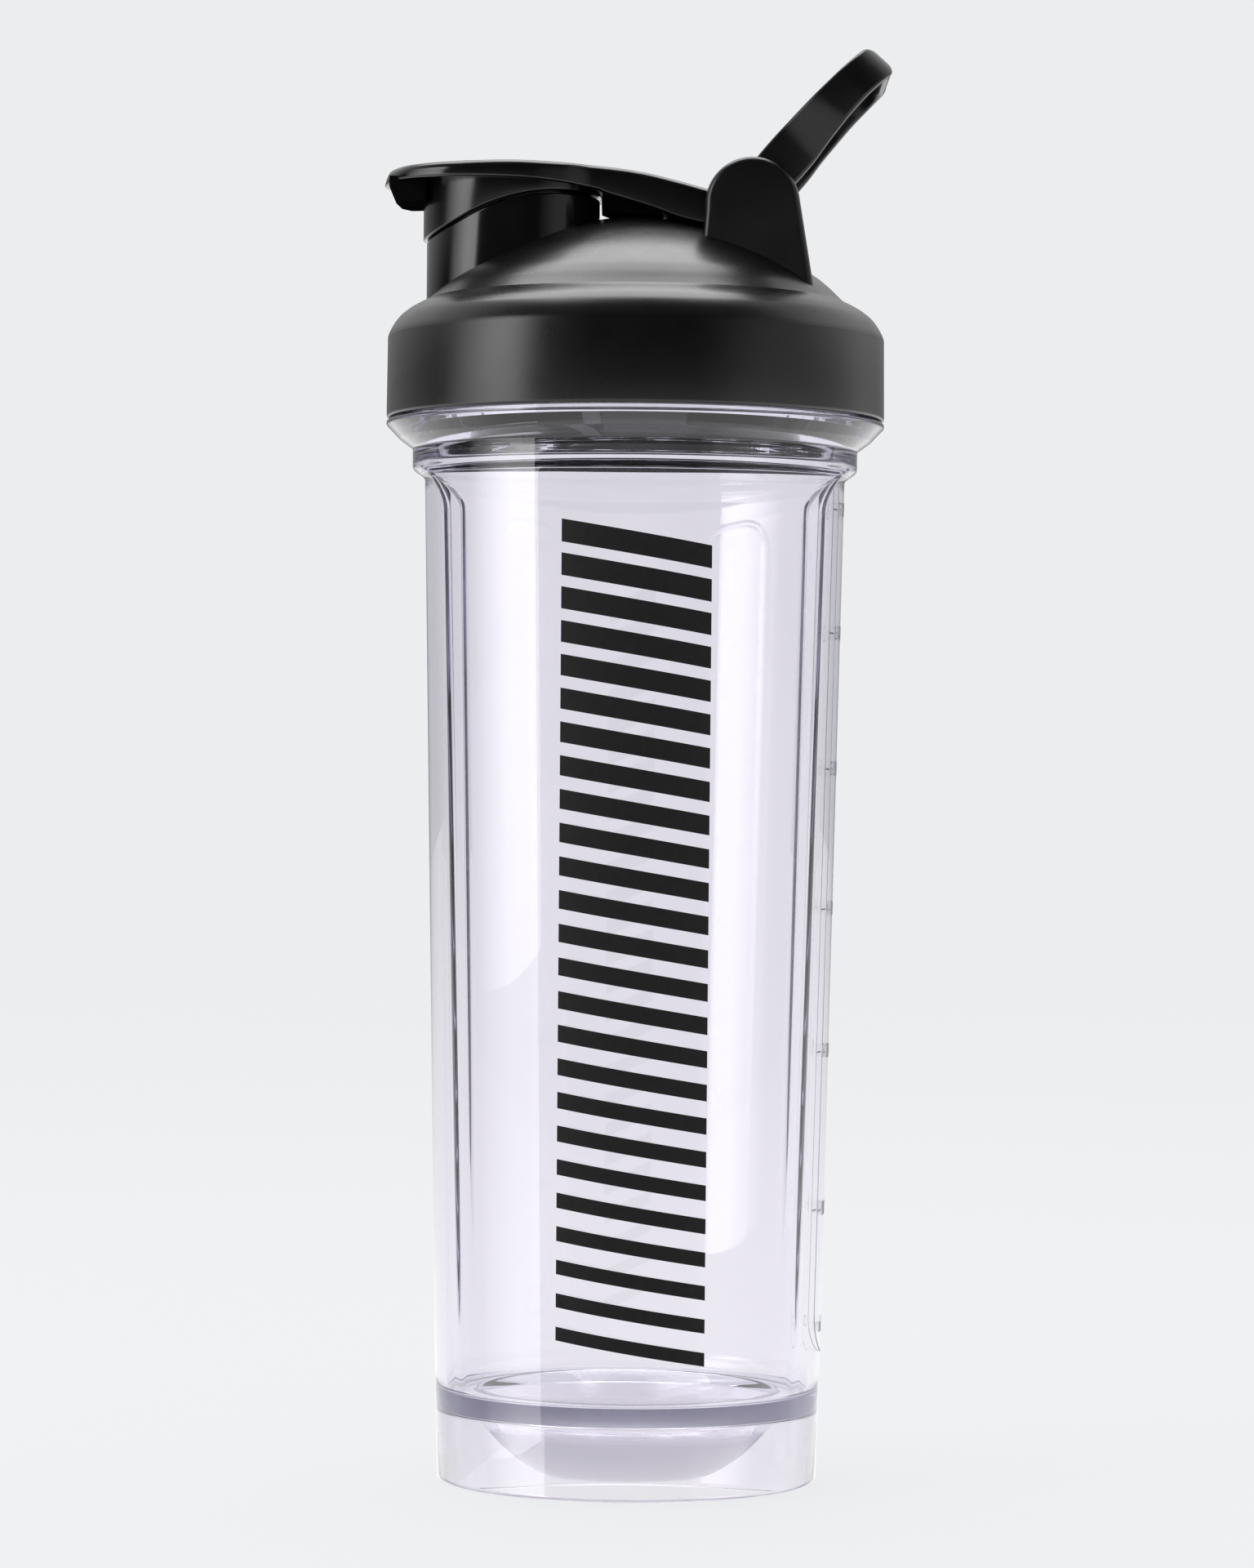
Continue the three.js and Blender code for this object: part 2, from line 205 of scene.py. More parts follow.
def grid_piece(name, points, close_rows=False, end_caps=False):
    """A surface through points[row, column], whose columns close round."""
    rows, columns = points.shape[:2]
    index = np.arange(rows * columns).reshape(rows, columns)
    lower = index if close_rows else index[:-1]
    upper = np.roll(index, -1, axis=0)[: len(lower)]
    quads = [lower, np.roll(lower, -1, axis=1), np.roll(upper, -1, axis=1), upper]
    faces = np.stack(quads, axis=-1).reshape(-1, 4).tolist()
    if end_caps:
        faces += [index[0].tolist(), index[-1][::-1].tolist()]
    return clean(new_piece(name, points.reshape(-1, 3), faces))


def wrapped(radius, z, turn):
    """Points round the Z axis, from the radius at each height and at each angle in degrees."""
    angle = np.radians(turn)
    height = np.broadcast_to(z, radius.shape)
    return np.stack([radius * np.cos(angle), radius * np.sin(angle), height], axis=-1)


def turned(name, outline, sides=192, x=0.0, close_rows=False):
    """A body of revolution about a vertical axis at x, from [radius, z] points."""
    r, z = np.array(outline, float).T
    angle = np.arange(sides) * 2 * math.pi / sides
    points = np.empty((len(r), sides, 3))
    points[..., 0] = x + r[:, None] * np.cos(angle)
    points[..., 1] = r[:, None] * np.sin(angle)
    points[..., 2] = z[:, None]
    return grid_piece(name, points, close_rows)


def hinge_rod(name, radius, half, sides=64, chamfer=0.3):
    """A round bar along Y through the hinge axis."""
    outline = [(0, -half), (radius - chamfer, -half), (radius, chamfer - half),
               (radius, half - chamfer), (radius - chamfer, half), (0, half)]
    rod = turned(name, outline, sides)
    rod.data.transform(Matrix.Rotation(math.radians(90), 4, "X"))
    rod.data.transform(Matrix.Translation((HINGE_X * MM, 0, HINGE_Z * MM)))
    return rod


def side_slab(name, outline, low_y, high_y, fillet):
    """A closed outline in X and Z, made solid from low_y to high_y, with its rims rounded."""
    p = np.array(outline, float)
    ahead = np.roll(p, -1, axis=0) - p
    ahead /= np.linalg.norm(ahead, axis=1)[:, None]
    area = np.sum(p[:, 0] * np.roll(p[:, 1], -1) - p[:, 1] * np.roll(p[:, 0], -1))
    outward = np.stack([ahead[:, 1], -ahead[:, 0]], axis=1) * np.sign(area)
    previous = np.roll(outward, 1, axis=0)
    miter = (outward + previous) / (1 + np.sum(outward * previous, axis=1))[:, None]
    layers = [(drop, low_y + inset) for inset, drop in quarter_round(fillet, 6)]
    layers += [(inset, low_y + high_y - y) for inset, y in layers[::-1]]
    points = np.empty((len(layers), len(p), 3))
    for k, (inset, y) in enumerate(layers):
        edge = p - miter * inset
        points[k, :, 0] = edge[:, 0]
        points[k, :, 1] = y
        points[k, :, 2] = edge[:, 1]
    return grid_piece(name, points, end_caps=True)


def settle(piece):
    """Applies the piece's modifiers to its mesh."""
    graph = bpy.context.evaluated_depsgraph_get()
    mesh = bpy.data.meshes.new_from_object(piece.evaluated_get(graph))
    piece.modifiers.clear()
    old = piece.data
    piece.data = mesh
    bpy.data.meshes.remove(old)


def joined(piece, other, operation="UNION"):
    """Joins another closed piece to this one, or cuts it away, and keeps both materials."""
    step = piece.modifiers.new("step", "BOOLEAN")
    step.operation = operation
    step.solver = "MANIFOLD"
    step.material_mode = "TRANSFER"
    step.object = other
    settle(piece)
    mesh = other.data
    bpy.data.objects.remove(other)
    bpy.data.meshes.remove(mesh)


def paint(piece, material):
    """Gives the whole piece one material."""
    piece.data.materials.clear()
    piece.data.materials.append(material)
    return piece


# ---- Materials ----

def new_material(name, **values):
    """A material whose Principled sockets are set to the given values."""
    material = bpy.data.materials.new(name)
    material.use_nodes = True
    shader = material.node_tree.nodes["Principled BSDF"]
    for socket, value in values.items():
        shader.inputs[socket.replace("_", " ")].default_value = value
    return material, material.node_tree, shader


def noise(tree, scale, detail=3.0, roughness=0.5, stretch=(1, 1, 1)):
    """Noise in the object's own coordinates, in features per metre."""
    place = tree.nodes.new("ShaderNodeTexCoord")
    mapping = tree.nodes.new("ShaderNodeMapping")
    mapping.inputs["Scale"].default_value = stretch
    texture = tree.nodes.new("ShaderNodeTexNoise")
    texture.inputs["Scale"].default_value = scale
    texture.inputs["Detail"].default_value = detail
    texture.inputs["Roughness"].default_value = roughness
    tree.links.new(place.outputs["Object"], mapping.inputs["Vector"])
    tree.links.new(mapping.outputs["Vector"], texture.inputs["Vector"])
    return texture.outputs["Fac"]


def ramp(tree, value, low, high, from_low=0.3, from_high=0.7):
    """Rescales a value to the range low to high, and holds it inside that range."""
    rescale = tree.nodes.new("ShaderNodeMapRange")
    rescale.inputs["From Min"].default_value = from_low
    rescale.inputs["From Max"].default_value = from_high
    rescale.inputs["To Min"].default_value = low
    rescale.inputs["To Max"].default_value = high
    tree.links.new(value, rescale.inputs["Value"])
    return rescale.outputs["Result"]


def combined(tree, operation, first, second):
    """Two values added, multiplied or subtracted; a difference is held between 0 and 1."""
    result = tree.nodes.new("ShaderNodeMath")
    result.operation = operation
    result.use_clamp = operation == "SUBTRACT"
    tree.links.new(first, result.inputs[0])
    tree.links.new(second, result.inputs[1])
    return result.outputs["Value"]


def bump(tree, shader, height, depth, under=None):
    """Adds a bump of the given depth in metres, over any bump made before it."""
    relief = tree.nodes.new("ShaderNodeBump")
    relief.inputs["Distance"].default_value = depth
    tree.links.new(height, relief.inputs["Height"])
    if under is not None:
        tree.links.new(under, relief.inputs["Normal"])
    tree.links.new(relief.outputs["Normal"], shader.inputs["Normal"])
    return relief.outputs["Normal"]


def tone(tree, shader, value, dark, light):
    """Colours the surface between two shades, as the value has it."""
    blend = tree.nodes.new("ShaderNodeMix")
    blend.data_type = "RGBA"
    blend.inputs["A"].default_value = (*dark, 1)
    blend.inputs["B"].default_value = (*light, 1)
    tree.links.new(ramp(tree, value, 0, 1), blend.inputs["Factor"])
    tree.links.new(blend.outputs["Result"], shader.inputs["Base Color"])


CLEAR_TINT = (0.44, 0.42, 0.64, 1)
CLEAR_DENSITY = 34.0  # per metre, so that thick edges turn blue-grey
FROST = 0.35  # the bowl's roughness
FROST_RADII = (0.00074, 0.00079)  # squared, in square metres: frosted inside, clear outside
FROST_HEIGHTS = (0.0112, 0.0118)  # in metres: frosted below, clear above


def clear_plastic():
    """Clear copolyester: a faint lavender tint, slow moulding ripples and a frosted bowl."""
    material, tree, shader = new_material(
        "clear_copolyester", Transmission_Weight=1.0, IOR=1.54, Roughness=0.0)
    tone(tree, shader, noise(tree, 18, 2), (0.984, 0.966, 0.996), (0.998, 0.98, 1.0))
    ripple = noise(tree, 26, 1.5, 0.4, (1, 1, 0.35))
    bump(tree, shader, ripple, 0.00005)
    place = tree.nodes.new("ShaderNodeTexCoord")
    split = tree.nodes.new("ShaderNodeSeparateXYZ")
    tree.links.new(place.outputs["Object"], split.inputs["Vector"])
    across = combined(tree, "MULTIPLY", split.outputs["X"], split.outputs["X"])
    deep = combined(tree, "MULTIPLY", split.outputs["Y"], split.outputs["Y"])
    in_bowl = ramp(tree, combined(tree, "ADD", across, deep), FROST, 0, *FROST_RADII)
    low = ramp(tree, split.outputs["Z"], 1, 0, *FROST_HEIGHTS)
    tree.links.new(combined(tree, "MULTIPLY", in_bowl, low), shader.inputs["Roughness"])
    depth = tree.nodes.new("ShaderNodeVolumeAbsorption")
    depth.inputs["Color"].default_value = CLEAR_TINT
    depth.inputs["Density"].default_value = CLEAR_DENSITY
    tree.links.new(depth.outputs["Volume"], tree.nodes["Material Output"].inputs["Volume"])
    return material


def black_plastic(name, roughness, grain, shade=0.0025, specks=0.0, shine=0.5):
    """Black moulded plastic: fine grain, faint rubbed patches and slow ripples."""
    material, tree, shader = new_material(name, IOR=1.5, Specular_IOR_Level=shine)
    patches = noise(tree, 90, 4, 0.6)
    tone(tree, shader, patches, (shade, shade, shade * 1.05),
         (shade * 1.7, shade * 1.65, shade * 1.7))
    wear = ramp(tree, noise(tree, 160, 5, 0.65), roughness * 0.94, roughness * 1.08)
    tree.links.new(wear, shader.inputs["Roughness"])
    slow = bump(tree, shader, noise(tree, 40, 1), 0.00001)
    fine = bump(tree, shader, noise(tree, 5200, 2, 0.6), grain, slow)
    if specks:
        bump(tree, shader, ramp(tree, noise(tree, 1500, 3, 0.7), 0, 1, 0.62, 0.8), specks, fine)
    return material


def silicone():
    """Soft dark rubber with a dry, dusty bloom."""
    material, tree, shader = new_material("dark_silicone", IOR=1.42, Sheen_Weight=0.25)
    tone(tree, shader, noise(tree, 220, 4, 0.6), (0.03, 0.03, 0.032), (0.055, 0.054, 0.058))
    tree.links.new(ramp(tree, noise(tree, 300, 4), 0.5, 0.68), shader.inputs["Roughness"])
    bump(tree, shader, noise(tree, 2600, 2), 0.000015)
    return material


def print_ink(name, dark, light, roughness):
    """Screen-printed ink: nearly flat, with a fine mesh texture and thin spots."""
    material, tree, shader = new_material(name, IOR=1.48, Specular_IOR_Level=0.25)
    tone(tree, shader, noise(tree, 700, 4, 0.6), dark, light)
    spots = ramp(tree, noise(tree, 900, 3), roughness, roughness + 0.14)
    tree.links.new(spots, shader.inputs["Roughness"])
    bump(tree, shader, noise(tree, 4200, 1), 0.000006)
    return material


def pale_floor():
    """The stage: mostly self-lit, so that it stays even, with a little shadow."""
    material, tree, shader = new_material("pale_floor", Roughness=0.9, Specular_IOR_Level=0.0)
    tone(tree, shader, noise(tree, 3, 2), (0.059, 0.059, 0.06), (0.061, 0.061, 0.062))
    shader.inputs["Emission Color"].default_value = (*PALE, 1)
    shader.inputs["Emission Strength"].default_value = FLOOR_GLOW
    return material


# ---- Bottle ----

BOWL_R = 28
BOWL_DEPTH = 9.7
BOWL_INNER = 0.92  # the bowl's inside radius, as a share of its underside's
BOWL_EDGE_R = 29.2  # where the floor's top turns down into the bowl
RING_R = 30  # where the flat ring round the bowl starts, underneath
FOOT_TOP_Z = 19
WALL_FROM_Z = 20
ARCH_FROM_Z = 185  # rows are close together from here up
WALL_TO_Z = 197.1
INNER_TOP_Z = 193.6  # the throat starts above this
MOUTH_FROM_Z = 214


def body_radius(z):
    """The tapered wall's outside."""
    return FOOT_R + BODY_TAPER * z


def grip_depth(z, angle):
    """How far the wall is drawn in at this height and angle from the X axis, in degrees."""
    across = smooth((GRIP_EDGE_ANGLE - angle) / (GRIP_EDGE_ANGLE - GRIP_FULL_ANGLE))
    top = GRIP_TOP_Z - GRIP_ARCH * (angle / GRIP_EDGE_ANGLE)**4
    under = smooth((top - z) / GRIP_TOP_STEP)
    return np.maximum(0, GRIP_SLOPE * (z - GRIP_FROM_Z)) * across * under


def thread_height(z, turn, start_z, from_angle, to_angle):
    """The thread ridge's height at this z and angle (0 to 360 degrees)."""
    height = np.zeros(np.broadcast(z, turn).shape)
    for lap in (0, 1):
        angle = turn + 360 * lap
        centre = start_z + THREAD_LEAD * angle / 360
        flank = (THREAD_ROOT - THREAD_CREST) / 2
        rise = smooth((THREAD_ROOT / 2 - np.abs(z - centre)) / flank)
        start = smooth((angle - from_angle) / THREAD_RUN_IN)
        end = smooth((to_angle - angle) / THREAD_RUN_IN)
        height = np.maximum(height, THREAD_DEPTH * rise * (start * end))
    return height


def bowl_outline():
    """The bowl's underside from its middle outwards, above BOWL_UNDER_Z."""
    return spline([(0, 0), (6.5, 0), (12.5, 0.15), (16.5, 1.1), (20.5, 3.2), (24.5, 6.2),
                   (BOWL_R, BOWL_DEPTH)], 4)


def wall_rows(offset):
    """The tapered wall from the foot up, with rows close together at the recess tops."""
    low = np.linspace(WALL_FROM_Z, ARCH_FROM_Z - 1, 66)
    high = np.linspace(ARCH_FROM_Z, WALL_TO_Z, 30)
    return [(body_radius(z) + offset, z) for z in (*low, *high)]


def bottle_outline():
    """From the middle of the bowl's underside out, up the outside and back down the inside."""
    foot_in = FOOT_R - WALL
    underside = [(r, BOWL_UNDER_Z + z) for r, z in bowl_outline()]
    foot = rounded([underside[-1], (RING_R, FLOOR_Z), (foot_in, FLOOR_Z), (foot_in, 0),
                    (FOOT_R, 0), (body_radius(FOOT_TOP_Z), FOOT_TOP_Z)], 0.8)
    outer = wall_rows(0)
    collar = rounded([outer[-1], (NECK_BAND_R, BODY_TOP_Z + 0.25), (NECK_BAND_R, COLLAR_Z),
                      (COLLAR_R - 2.5, COLLAR_Z + 2), (COLLAR_R - 1.1, COLLAR_Z + 3.5),
                      (COLLAR_R, COLLAR_TOP_Z - 0.9), (COLLAR_R, COLLAR_TOP_Z),
                      (FINISH_R, COLLAR_TOP_Z), (FINISH_R, COLLAR_TOP_Z + 1.2)], 0.6, 3)
    neck = divided([(FINISH_R, COLLAR_TOP_Z + 1.4), (FINISH_R, RIM_Z - 1.2)], 0.36)
    rim = rounded([neck[-1], (FINISH_R, RIM_Z), (MOUTH_R, RIM_Z), (MOUTH_R, MOUTH_FROM_Z),
                   (THROAT_R + 0.25, COLLAR_TOP_Z)], 0.6)
    inner = [row for row in wall_rows(-WALL)[::-1] if row[1] < INNER_TOP_Z]
    throat = spline([(THROAT_R + 0.25, COLLAR_TOP_Z), (THROAT_R, 201.3), (THROAT_R + 0.12, 199.5),
                     (THROAT_R + 0.3, 198), (THROAT_R + 0.18, 196.9), (THROAT_R + 0.24, 196.3),
                     (THROAT_R + 0.58, 195.3), inner[0]], 6)
    floor = rounded([inner[-1], (body_radius(FLOOR_TOP_Z) - WALL, FLOOR_TOP_Z),
                     (BOWL_EDGE_R, FLOOR_TOP_Z),
                     (BOWL_INNER * BOWL_R, BOWL_UNDER_Z + BOWL_WALL + BOWL_DEPTH)], 1.6)
    bowl = [(BOWL_INNER * r, BOWL_UNDER_Z + BOWL_WALL + z) for r, z in bowl_outline()][::-1]
    return (underside[:-1] + foot + outer + collar[1:] + neck + rim[1:] + throat[1:]
            + inner[1:] + floor[1:-1] + bowl)


def bottle_angles():
    """Degrees round the bottle, close together where the recess edges are."""
    coarse = [a for a in np.arange(0, 90, 1.6)
              if not GRIP_FULL_ANGLE - 1 < a < GRIP_EDGE_ANGLE + 1]
    fine = np.arange(GRIP_FULL_ANGLE - 1, GRIP_EDGE_ANGLE + 1.1, 0.75)
    quarter = np.array(sorted([*coarse, *fine]))
    half = [*quarter, 90, *(180 - quarter[:0:-1])]
    return np.array([*half, *(np.array(half) + 180)])


def bottle(material):
    """The clear shell, drawn in at the grip recesses and with a thread round its neck."""
    outline = np.array(bottle_outline())
    r = outline[:, :1]
    z = outline[:, 1:]
    turn = bottle_angles()[None, :]
    from_x = np.abs((turn + 90) % 180 - 90)
    gripped = (r > RING_R) & (z > GRIP_FROM_Z) & (z < GRIP_TOP_Z)
    threaded = (np.abs(r - FINISH_R) < 0.01) & (z > COLLAR_TOP_Z + 1) & (z < RIM_Z - 1)
    radius = r - np.where(gripped, grip_depth(z, from_x), 0)
    thread = thread_height(z, turn, NECK_THREAD_Z, *NECK_THREAD_TURN)
    radius = radius + np.where(threaded, thread, 0)
    piece = paint(grid_piece("bottle_shell", wrapped(radius, z, turn)), material)
    piece.data.set_sharp_from_angle(angle=math.radians(50))
    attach(piece, "bottle")
    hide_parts("bottle_body")


# ---- Print and volume marks ----

PRINT_GAP = 0.03  # between the wall and the ink
INK = 0.04
FRONT = -90  # degrees round from the X axis
SCALE_SIDE = 0


def on_wall(along, z, centre):
    """A point just off the wall, from its arc length from the centre line and its height."""
    turn = np.radians(centre) + along / body_radius(z)
    from_x = abs((math.degrees(turn) + 90) % 180 - 90)
    radius = body_radius(z) + PRINT_GAP - float(grip_depth(z, from_x))
    return radius * math.cos(turn), radius * math.sin(turn), z


def band(first, second):
    """Vertices and quads between two lines that have equally many points."""
    n = len(first)
    return first + second, [[k, k + 1, n + k + 1, n + k] for k in range(n - 1)]


def strip(along, heights_low, heights_high, centre):
    """A printed strip between two lines that run round the wall."""
    return band([on_wall(s, z, centre) for s, z in zip(along, heights_low)],
                [on_wall(s, z, centre) for s, z in zip(along, heights_high)])


def inked(name, strips, material):
    """One printed piece from several strips, with the ink's thickness."""
    vertices, faces = [], []
    for points, quads in strips:
        faces += [[len(vertices) + k for k in quad] for quad in quads]
        vertices += points
    ink_layer(new_piece(name, vertices, faces), material)


def ink_layer(piece, material):
    """Thickens flat print and fixes it to the bottle."""
    thick = piece.modifiers.new("ink", "SOLIDIFY")
    thick.thickness = INK * MM
    thick.offset = 1
    settle(piece)
    clean(paint(piece, material))
    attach(piece, "bottle")


def front_graphic(material):
    """A plain column of slanted bars, thick at the top and thinner further down."""
    left, right = -13.9, 14.9
    top, bottom, slope = 181, 29.5, math.tan(math.radians(9.5))
    thickness, thinner_by = 4.3, 1.7
    bars = 25
    along = np.linspace(left, right, 30)
    strips = []
    for k in range(bars):
        part = k / (bars - 1)
        middle = top + (bottom - top) * part - slope * along
        half = (thickness - thinner_by * part) / 2
        strips.append(strip(along, middle - half, middle + half, FRONT))
    inked("front_graphic", strips, material)


def volume_scale(material):
    """Ounces on one side of the scale, millilitres on the other, ticks and a thin frame."""
    half = 11.6
    low, high, line = 33, 193, 0.28
    sag = 8  # how far the frame's lower end hangs down
    strips = []
    heights = np.linspace(low, high, 60)
    for side in (-1, 1):
        strips.append(band([on_wall(side * half, z, SCALE_SIDE) for z in heights],
                           [on_wall(side * (half - line), z, SCALE_SIDE) for z in heights]))
    turn = np.linspace(math.pi, 2 * math.pi, 40)
    strips.append(band([on_wall(half * math.cos(t), low + sag * math.sin(t), SCALE_SIDE)
                        for t in turn],
                       [on_wall((half - line) * math.cos(t), low + (sag - line) * math.sin(t),
                                SCALE_SIDE) for t in turn]))

    marks = {26: 189.3, 22: 165.3, 18: 138.9, 14: 111.7, 10: 84.0, 6: 53.3}  # ounces: height
    half_tick = 0.16
    for z in marks.values():
        for side in (-1, 1):
            tick = side * np.linspace(half - 3.2, half - 0.5, 4)
            strips.append(strip(tick, [z - half_tick] * 4, [z + half_tick] * 4, SCALE_SIDE))
    inked("scale_lines", strips, material)

    ounce_ml = 29.57
    ounce_column, ml_column, label_z = 4.2, -4.4, 29.3
    for ounces, z in marks.items():
        volume_text(f"oz_{ounces}", str(ounces), ounce_column, z - 1.4, 3.6, material)
        millilitres = round(ounces * ounce_ml / 10) * 10
        volume_text(f"ml_{millilitres}", str(millilitres), ml_column, z - 1.2, 3.0, material)
    volume_text("oz_label", "oz", ounce_column, label_z, 3.6, material)
    volume_text("ml_label", "ml", ml_column, label_z, 3.2, material)


def volume_text(name, text, along, z, size, material):
    """Small generic figures wrapped on the wall."""
    curve = bpy.data.curves.new(name, "FONT")
    curve.body = text
    curve.size = size * 1.35
    curve.align_x = "CENTER"
    curve.resolution_u = 3
    flat = bpy.data.objects.new(name, curve)
    bpy.context.scene.collection.objects.link(flat)
    graph = bpy.context.evaluated_depsgraph_get()
    mesh = bpy.data.meshes.new_from_object(flat.evaluated_get(graph))
    bpy.data.objects.remove(flat)
    bpy.data.curves.remove(curve)
    for vertex in mesh.vertices:
        x, y, _ = vertex.co
        vertex.co = Vector(on_wall(along + x, z + y, SCALE_SIDE)) * MM
    piece = bpy.data.objects.new(name, mesh)
    bpy.context.scene.collection.objects.link(piece)
    ink_layer(piece, material)


# ---- Lid ----

LID_ROOT_Z = 226  # inside the dome, where the spout and the ears start

# the height of the seam between cap and spout, at any x
seam_z = reader([(-42.5, 241.2), (-36, 244.1), (-30.3, 246.8), (-24.7, 248.7), (-18.7, 249.9),
                 (-13, 250.3), (-6, 250.3)])


def lid_outline():
    """From the top of the dome down the outside, and back up the inside."""
    dome = spline([(0, 246.4), (6.1, 246.1), (12.5, 244.8), (20.5, 242.4), (28.5, 238.9),
                   (34.7, 235.2), (37.6, 233), (39.7, 231)], 6)
    shoulder = spline([(41.5, 229.6), (42.9, 228.9), (44.3, 228.1), (45.4, 227.3), (46.3, 226.5),
                       (47.3, 225.2), (48.2, 223.6), (48.55, 222.6)], 4)
    crease = rounded([dome[-1], (40.75, 230), shoulder[0]], 0.4, 3)
    edge = rounded([shoulder[-1], (LID_R, LID_SKIRT_Z), (LID_BORE_R + 0.1, LID_SKIRT_Z),
                    (LID_BORE_R, LID_SKIRT_Z + 0.4)], 0.7)
    bore = divided([(LID_BORE_R, LID_SKIRT_Z + 0.5), (LID_BORE_R, GASKET_SEAT_Z - 0.2)], 0.4)
    seat = rounded([(LID_BORE_R, GASKET_SEAT_Z), (40.8, GASKET_SEAT_Z), (39.2, 226.6)], 0.4)
    under = spline([(39.2, 226.8), (37.8, 229.6), (35.9, 231.5), (33.4, 233.4), (27.4, 236.9),
                    (19.7, 240.2), (12, 242.5), (0, 244.1)], 4)
    return dome[:-1] + crease + shoulder[1:-1] + edge + bore + seat + under


def lid_shell():
    """The dome and skirt, with the thread inside."""
    outline = np.array(lid_outline())
    r = outline[:, :1]
    z = outline[:, 1:]
    turn = np.arange(0, 360, 1.5)[None, :]
    threaded = (np.abs(r - LID_BORE_R) < 0.01) & (z < GASKET_SEAT_Z - 0.1)
    thread = thread_height(z, turn, LID_THREAD_Z, *LID_THREAD_TURN)
    radius = r - np.where(threaded, thread, 0)
    return grid_piece("lid_shell", wrapped(radius, z, turn))


def spout():
    """The spout's wall up to the seam, and the narrower lip inside the cap's skirt."""
    angle = np.arange(0, 360, 2.0) * math.pi / 180
    ledge = seam_z(SPOUT_X + SPOUT_R * np.cos(angle)) - SEAM_GAP
    level = 0 * ledge
    core_r = 5  # solid out from here, until the bore is cut
    rows = [(SPOUT_R, LID_ROOT_Z + level)]
    rows += [(SPOUT_R - inset, ledge - drop) for inset, drop in quarter_round(0.5, 5)]
    rows += [(LIP_R, ledge)]
    rows += [(LIP_R - inset, LIP_Z - drop + level) for inset, drop in quarter_round(0.7, 5)]
    rows += [(core_r, LIP_Z + level), (core_r, LID_ROOT_Z + level)]
    points = np.array([[(SPOUT_X + r * math.cos(a), r * math.sin(a), h) for a, h in zip(angle, z)]
                       for r, z in rows])
    return grid_piece("spout", points, close_rows=True)


def ear_outline():
    """One ear from the side: an arc round the hinge on a foot that widens."""
    arc = np.radians(np.linspace(180, 7, 60))
    curve = [(HINGE_X + EAR_R * math.cos(t), HINGE_Z + EAR_R * math.sin(t)) for t in arc]
    foot_left, foot_right = HINGE_X - EAR_R - 1.6, HINGE_X + EAR_R + 3.2
    return [(foot_left, LID_ROOT_Z), (HINGE_X - EAR_R, HINGE_Z - 0.8), *curve,
            (foot_right - 0.2, LID_ROOT_Z + 4), (foot_right, LID_ROOT_Z)]


def lid(matte, gloss, satin):
    """The shell with its spout and two ears, bored for drinking and for the hinge pins."""
    piece = paint(lid_shell(), matte)
    joined(piece, paint(spout(), gloss))
    for side in (-1, 1):
        low, high = sorted((side * EAR_INNER_Y, side * EAR_OUTER_Y))
        joined(piece, paint(side_slab("ear", ear_outline(), low, high, 1.4), satin))
    bore = [(0, 220), (BORE_R, 220), (BORE_R, LIP_Z - 0.8), (BORE_R + 0.2, LIP_Z - 0.3),
            (BORE_R + 0.8, LIP_Z + 0.1), (BORE_R + 0.8, LIP_Z + 4), (0, LIP_Z + 4)]
    joined(piece, paint(turned("bore", bore, 180, SPOUT_X), gloss), "DIFFERENCE")
    joined(piece, paint(hinge_rod("hole", PIN_HOLE_R, PIN_END_Y + 0.4), satin), "DIFFERENCE")
    piece.name = "lid_dome"
    clean(piece, 32)
    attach(piece, "lid")
    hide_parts("lid")


def gasket(material):
    """The soft ring between the bottle's rim and the lid."""
    inner, outer = 41.6, LID_BORE_R - 0.4
    low, high = RIM_Z + 0.3, GASKET_SEAT_Z - 0.3
    middle = (inner + outer) / 2
    ring = rounded([(middle, low), (outer, low), (outer, high), (inner, high), (inner, low),
                    (middle, low)], 0.45)
    piece = paint(turned("seal_ring", ring[:-1], 192, close_rows=True), material)
    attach(piece, "gasket")
    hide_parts("lid_gasket")


# ---- Flip cap ----

CAP_TOP_FILLET = 1.75
CAP_LEDGE = 0.14  # the parting line under the fillet
CAP_LOW_FILLET = 0.5
CAP_CROWN = 0.3
CAP_ARM_HALF = 12.5  # the plate's half width from the spout to the hinge
SKIRT_TOP_Z = 253.2  # inside the plate

# the heights of the plate's upper and lower face, at any x
cap_top = reader([(-49.6, 253.8), (-48.8, 254.8), (-46.5, 255.3), (-34, 255.6), (-22, 255.8),
                  (-10, 255.6), (0, 254.5), (8, 252.7), (15, 250.9), (22.2, 250.2)])
cap_under = reader([(-49.2, 252), (-42, 252.6), (-20, 252), (-8.6, 250.8), (-5.8, 249.9),
                    (2.9, 247.3), (8.1, 245.4), (14, 244.1), (17, 244.2), (22.2, 244.2)])


def cap_edge():
    """The cap's plan outline on the far side, tip to hinge: points and outward normals."""
    half = [(-49.4, 0), (-48.2, 6), (-44.6, 11.8), (-37.5, 16.6), (-30, 18.4), (-22, 18.2),
            (-14.5, 15.6), (-8.5, 12.7), (-2, CAP_ARM_HALF), (6, CAP_ARM_HALF),
            (14, CAP_ARM_HALF), (HINGE_X, CAP_ARM_HALF)]
    mirrored = [(x, -y) for x, y in half[:0:-1]]
    curve = np.array(spline(mirrored + half, 10))
    along = np.gradient(curve, axis=0)
    normal = np.stack([-along[:, 1], along[:, 0]], axis=1)
    normal /= np.linalg.norm(normal, axis=1)[:, None]
    start = len(curve) // 2
    return curve[start:], normal[start:]


